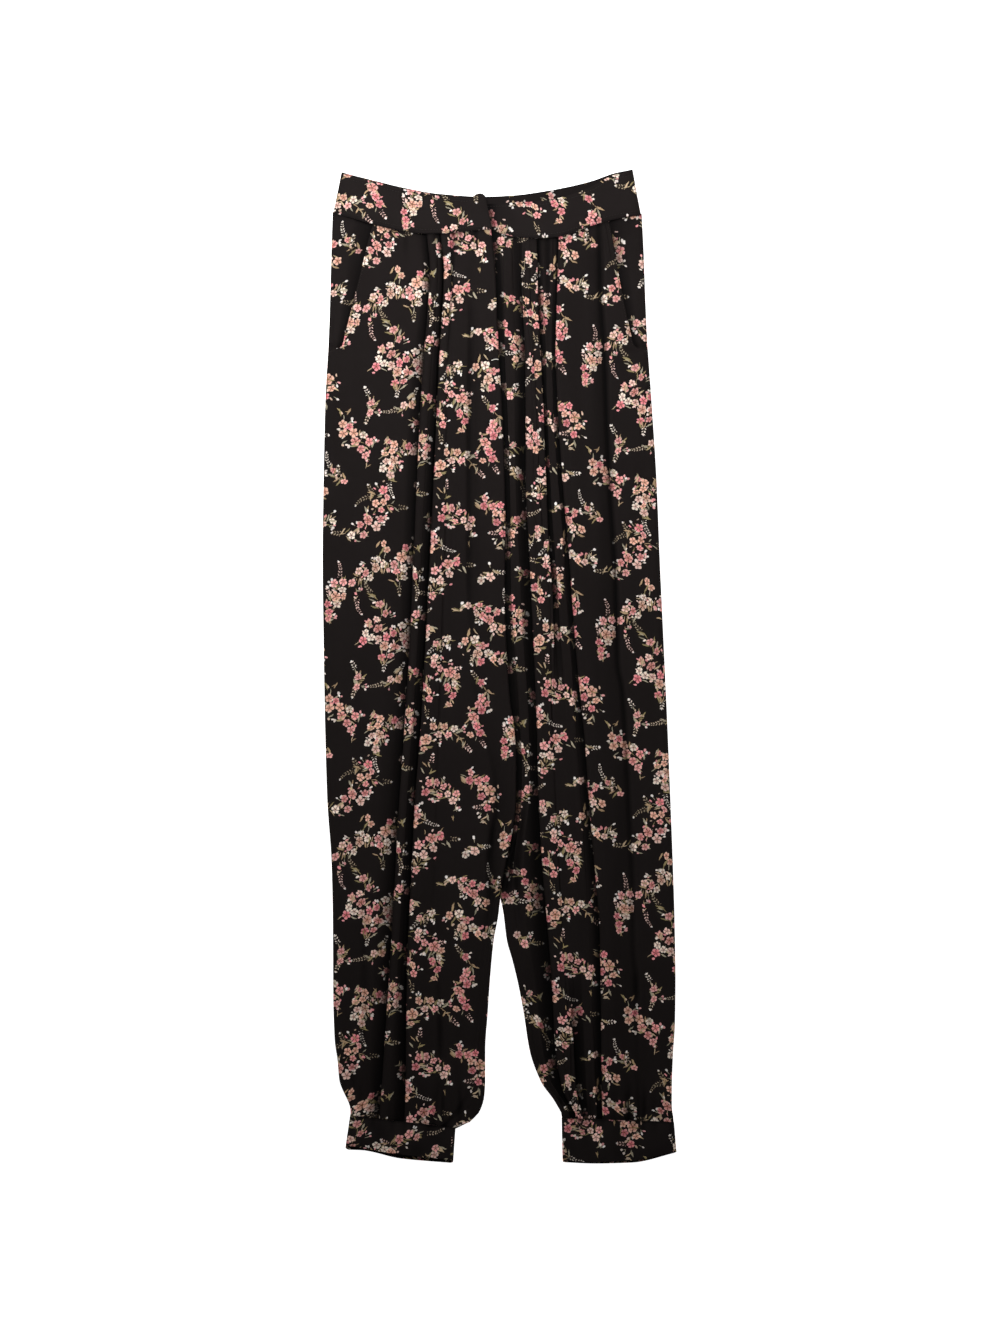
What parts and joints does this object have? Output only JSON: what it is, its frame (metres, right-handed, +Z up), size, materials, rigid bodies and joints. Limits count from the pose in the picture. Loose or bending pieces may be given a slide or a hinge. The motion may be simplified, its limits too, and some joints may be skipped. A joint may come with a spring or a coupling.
{
  "type": "low-crotch wide-leg trousers with ankle cuffs",
  "caption": "Light floral trousers with wide pleated legs, a very low crotch, slanted pockets, a shaped waistband and gathered ankle cuffs, laid flat on their back.",
  "frame": {"origin": "centre of the box round the trousers, on the surface that they lie on", "axes": "+X to the wearer's left, +Y up to the waist, +Z up from the surface, out of the front"},
  "size_m": [0.3825, 1.0743, 0.0072],
  "materials": {
    "crepe": "soft matte printed crepe",
    "crepe_doubled": "soft matte printed crepe, doubled"
  },
  "bodies": {
    "root": {"front_right": "crepe", "front_left": "crepe", "back_right": "crepe", "back_left": "crepe", "hip_right": "crepe", "hip_left": "crepe", "waistband_right": "crepe_doubled", "waistband_left": "crepe_doubled", "waistband_back": "crepe_doubled", "cuff_right": "crepe_doubled", "cuff_left": "crepe_doubled"}
  },
  "joints": []
}
